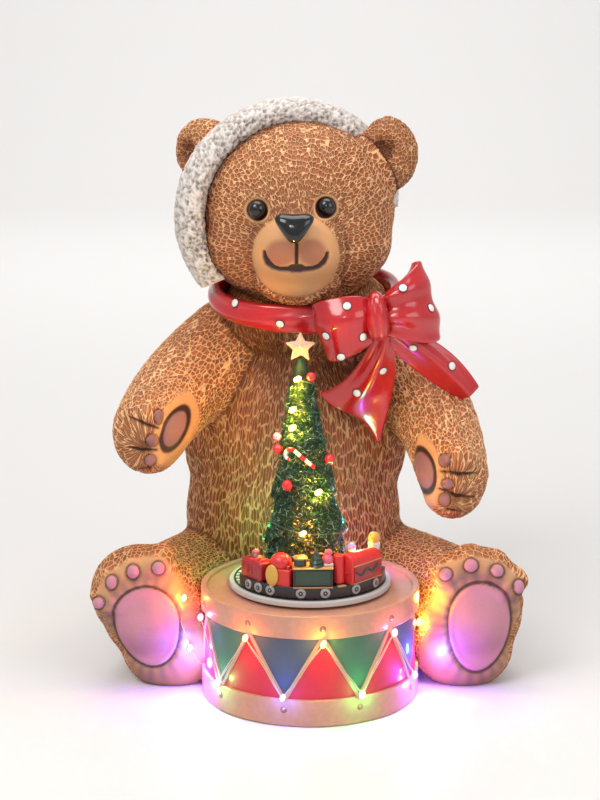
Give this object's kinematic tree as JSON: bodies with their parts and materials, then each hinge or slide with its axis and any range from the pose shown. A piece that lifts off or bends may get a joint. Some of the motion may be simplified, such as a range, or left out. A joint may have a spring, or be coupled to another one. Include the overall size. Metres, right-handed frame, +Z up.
{
  "type": "light-up bear figure",
  "caption": "Seated teddy bear figure in a hat, scarf and bow, with a toy drum between its feet carrying a track plate, small train and lit tinsel tree.",
  "frame": {"origin": "on the underside, midway between the drum's front and the bear's back", "axes": "+Z up, the bear faces -Y, its own right paw is at -X"},
  "size_m": [0.3249, 0.316, 0.4272],
  "materials": {
    "painted_fur": "painted resin, carved fur with light worn ridges",
    "plate_grey": "satin painted",
    "train_red": "gloss painted",
    "tinsel_green": "glittering tinsel",
    "star_copper": "metallic copper",
    "ornament_red": "gloss",
    "ornament_pink": "pearl",
    "ornament_lilac": "pearl",
    "cane_white": "gloss, striped",
    "light_wire": "clear lacquered wire with clear drops",
    "tree_light_wire": "lacquered wire with clear drops",
    "hat_white": "pitted fleece texture, matt painted",
    "hat_red": "satin painted",
    "bow_red": "high-gloss painted",
    "dot_white": "gloss painted",
    "pad_pink": "satin painted",
    "gloss_black": "high-gloss painted",
    "drum_rose": "pearl painted",
    "drum_panels": "pearl painted in red, green and slate triangles",
    "train_gold": "metallic gold painted",
    "train_black": "satin painted",
    "train_grey": "silver painted",
    "light_glow": "clear bead, lit"
  },
  "bodies": {
    "root": {"bear": "painted_fur", "track_plate": "plate_grey", "train": "train_red", "tree": "tinsel_green", "tree_star": "star_copper", "ornament_red_top": "ornament_red", "ornament_red_left": "ornament_red", "ornament_red_middle": "ornament_red", "ornament_red_right": "ornament_red", "ornament_pink": "ornament_pink", "ornament_lavender": "ornament_lilac", "candy_cane": "cane_white", "drum_light_string": "light_wire", "tree_light_string": "tree_light_wire"}
  },
  "joints": []
}
